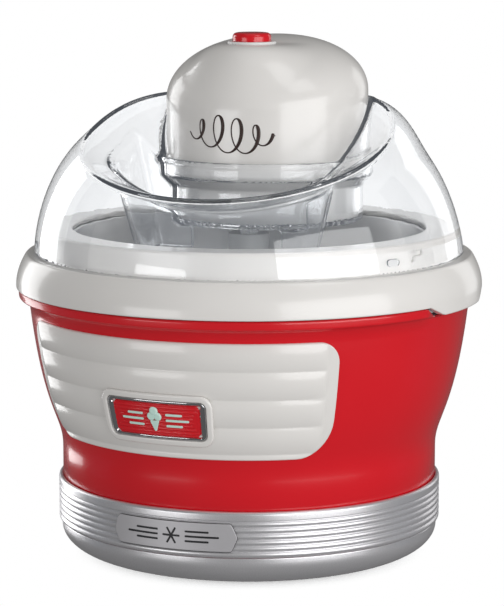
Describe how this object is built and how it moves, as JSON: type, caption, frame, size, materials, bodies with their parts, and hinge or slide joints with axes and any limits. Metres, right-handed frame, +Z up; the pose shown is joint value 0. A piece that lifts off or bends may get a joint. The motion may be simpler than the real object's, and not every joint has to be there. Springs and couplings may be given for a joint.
{
  "type": "ice cream maker",
  "caption": "Table-top ice cream maker: red holder on a ribbed silver base, lift-out freezer bowl, clear lid with a pouring hollow, geared motor unit with push button, paddle.",
  "frame": {"origin": "on the surface it stands on, under the centre of the bowl", "axes": "+Z up, -Y towards the front panel and its badge, +X to the front's right as seen from the front"},
  "size_m": [0.236, 0.236, 0.264],
  "materials": {
    "red_plastic": "glossy moulded red",
    "ivory_plastic": "glossy moulded warm white",
    "white_plastic": "satin moulded white",
    "silver_paint": "fine metallic silver paint",
    "grey_plastic": "moulded grey",
    "dark_plastic": "moulded black",
    "clear_plastic": "clear polished plastic",
    "brushed_plate": "brushed foil",
    "bright_metal": "chromed",
    "mint_enamel": "pale enamel",
    "bowl_aluminium": "anodised satin",
    "cold_gel": "sealed cooling gel",
    "foot_rubber": "soft",
    "plated_steel": "zinc plated",
    "bronze": "sintered",
    "copper_coil": "enamelled wire",
    "magnet": "ferrite"
  },
  "bodies": {
    "holder": {"base_shell": "silver_paint", "base_cover": "dark_plastic", "feet": "foot_rubber", "base_screws": "plated_steel", "rib_band": "silver_paint", "name_plate": "brushed_plate", "body_shell": "red_plastic", "body_liner": "grey_plastic", "front_panel": "ivory_plastic", "badge_bezel": "bright_metal", "badge_plate": "red_plastic", "badge_emblem": "mint_enamel"},
    "freezer_bowl": {"bowl_rim": "ivory_plastic", "bowl_outer": "grey_plastic", "bowl_inner": "bowl_aluminium", "coolant_gel": "cold_gel", "fill_plug": "dark_plastic"},
    "lid": {"lid_shell": "clear_plastic", "lid_chute": "clear_plastic", "motor_cup": "clear_plastic"},
    "motor_unit": {"motor_housing": "ivory_plastic", "motor_base": "grey_plastic", "unit_screws": "plated_steel", "button_ring": "white_plastic", "cord_gland": "grey_plastic", "gear_plate": "plated_steel", "plate_screws": "plated_steel", "motor_can": "plated_steel", "stator_coil": "copper_coil", "output_bush": "bronze", "rotor_bushes": "bronze", "idler_pin": "plated_steel", "switch_bracket": "plated_steel", "switch_body": "dark_plastic", "terminal_block": "white_plastic", "button_spring": "plated_steel"},
    "button": {"push_button": "red_plastic", "button_stem": "white_plastic"},
    "rotor": {"rotor_magnet": "magnet", "rotor_shaft": "plated_steel", "rotor_pinion": "bronze"},
    "idler": {"idler_gear": "white_plastic"},
    "output": {"output_gear": "white_plastic", "output_shaft": "plated_steel", "shaft_clip": "plated_steel"},
    "paddle": {"paddle": "white_plastic"}
  },
  "joints": [
    {"name": "bowl_lift", "type": "slide", "parent": "holder", "child": "freezer_bowl", "axis": [0, 0, 1], "range_m": [0, 0.13]},
    {"name": "lid_lift", "type": "slide", "parent": "freezer_bowl", "child": "lid", "axis": [0, 0, 1], "range_m": [0, 0.08]},
    {"name": "unit_lift", "type": "slide", "parent": "lid", "child": "motor_unit", "axis": [0, 0, 1], "range_m": [0, 0.1]},
    {"name": "button_press", "type": "slide", "parent": "motor_unit", "child": "button", "axis": [0, 0, -1], "range_m": [0, 0.003], "stiffness_N_per_m": 300, "springref_m": -0.002, "deforming": ["button_spring"]},
    {"name": "paddle_spin", "type": "hinge", "parent": "freezer_bowl", "child": "paddle", "pos_m": [0, 0, 0.1], "axis": [0, 0, 1], "continuous": true},
    {"name": "output_spin", "type": "hinge", "parent": "motor_unit", "child": "output", "pos_m": [0, 0, 0.17], "axis": [0, 0, 1], "continuous": true},
    {"name": "idler_spin", "type": "hinge", "parent": "motor_unit", "child": "idler", "pos_m": [0.01474, 0.01894, 0.17], "axis": [0, 0, 1], "continuous": true},
    {"name": "rotor_spin", "type": "hinge", "parent": "motor_unit", "child": "rotor", "pos_m": [0, 0.027, 0.17], "axis": [0, 0, 1], "continuous": true}
  ],
  "couplings": [
    {"joint": "idler_spin", "follows": "rotor_spin", "ratio": -0.33333},
    {"joint": "output_spin", "follows": "rotor_spin", "ratio": 0.11111},
    {"joint": "paddle_spin", "follows": "rotor_spin", "ratio": 0.11111}
  ]
}
